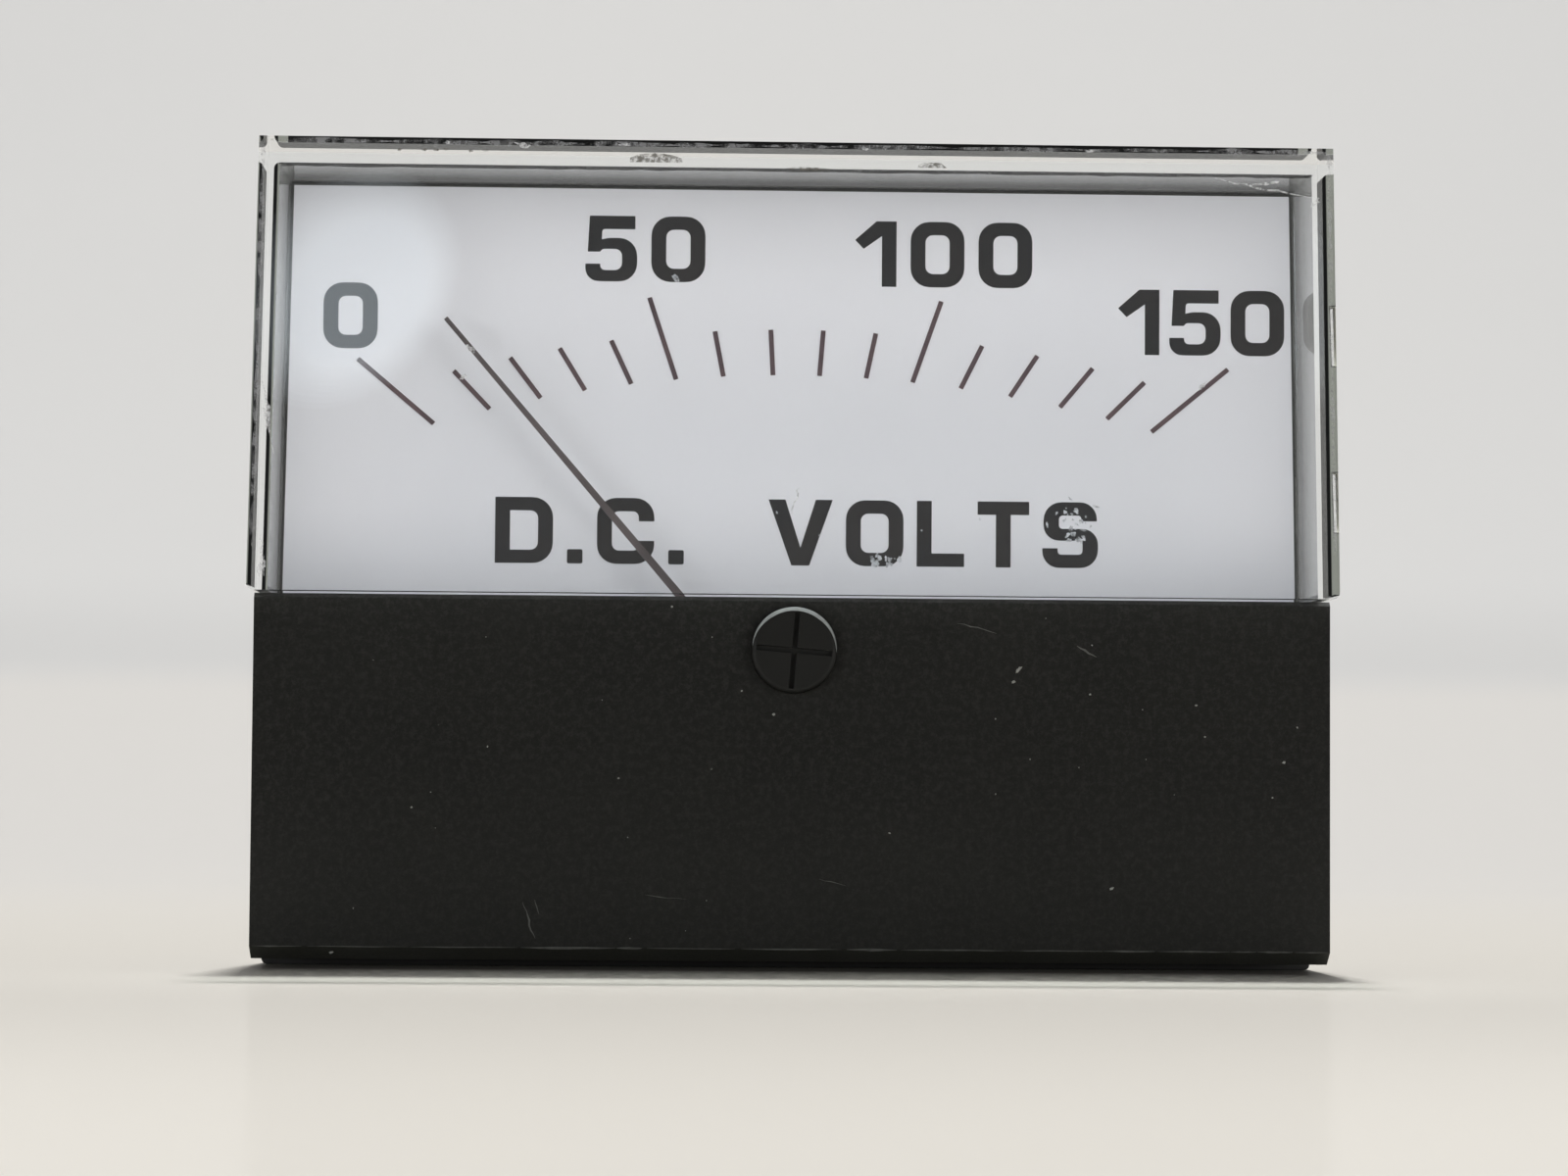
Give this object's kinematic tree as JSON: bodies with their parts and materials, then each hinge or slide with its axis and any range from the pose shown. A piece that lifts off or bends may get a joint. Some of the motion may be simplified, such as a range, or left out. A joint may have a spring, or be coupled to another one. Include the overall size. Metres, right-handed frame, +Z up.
{
  "type": "analogue panel meter",
  "caption": "Rectangular analogue panel meter: clear window over a printed dial and pointer, black lower mask with a zero screw, round barrel with terminals behind.",
  "frame": {"origin": "on the barrel's axis in the plane of the panel seat, the back of the flange, at the centre of the mounting studs", "axes": "+X right as seen from the front, +Y back through the panel, +Z up"},
  "size_m": [0.0888, 0.0547, 0.0677],
  "materials": {
    "case_black": "moulded black, fine grain",
    "clear_acrylic": "clear, polished, lightly scratched",
    "mask_black": "matte olive black, fine grain, dusty",
    "screw_black": "black, satin",
    "dial_white": "white paint, matte",
    "ink": "printed dark brown-black",
    "steel": "zinc plated",
    "brass": "bare brass",
    "aluminium": "plain",
    "soft_iron": "plated soft iron",
    "magnet": "ground magnet alloy",
    "copper_wire": "enamelled copper",
    "pointer_dark": "painted dark brown",
    "spring_bronze": "phosphor bronze strip",
    "tinned": "tinned",
    "resistor_body": "coated",
    "lead_red": "insulated",
    "lead_black": "insulated"
  },
  "bodies": {
    "case": {"base": "case_black", "window": "clear_acrylic", "mask": "mask_black", "mask_screws": "steel", "mounting_studs": "steel", "dial_plate": "dial_white", "dial_screws": "steel", "scale_marks": "ink", "pointer_stops": "brass", "support_plate": "aluminium", "support_screws": "steel", "yoke_ring": "soft_iron", "core_magnet": "magnet", "core_webs": "brass", "front_bridge": "aluminium", "rear_bridge": "aluminium", "bridge_screws": "steel", "front_jewel": "brass", "rear_jewel": "brass", "jewel_nuts": "brass", "rear_anchor": "brass", "terminal_studs": "brass", "terminal_washers": "brass", "terminal_nuts": "brass", "solder_lugs": "tinned", "resistor": "resistor_body", "frame_lead": "lead_red", "anchor_lead": "lead_black"},
    "zero_screw": {"zero_screw": "screw_black", "zero_clip": "steel"},
    "zero_lever": {"zero_lever": "brass"},
    "moving_coil": {"coil_former": "aluminium", "coil_winding": "copper_wire", "front_pivot": "steel", "rear_pivot": "steel", "pointer": "pointer_dark", "balance_weights": "brass", "front_hairspring": "spring_bronze", "rear_hairspring": "spring_bronze"}
  },
  "joints": [
    {"name": "zero_turn", "type": "hinge", "parent": "case", "child": "zero_screw", "pos_m": [0, -0.0135, -0.008], "axis": [0, 1, 0], "range_deg": [-30, 30]},
    {"name": "lever_shift", "type": "hinge", "parent": "case", "child": "zero_lever", "pos_m": [0, -0.01, -0.0141], "axis": [0, 1, 0], "range_deg": [-4.2, 4.2]},
    {"name": "pointer_swing", "type": "hinge", "parent": "zero_lever", "child": "moving_coil", "pos_m": [0, -0.0065, -0.0141], "axis": [0, 1, 0], "range_deg": [-11.6, 93.4], "stiffness_Nm_per_rad": 0.00003, "deforming": ["front_hairspring", "rear_hairspring"]}
  ],
  "couplings": [
    {"joint": "lever_shift", "follows": "zero_turn", "ratio": 0.138}
  ]
}
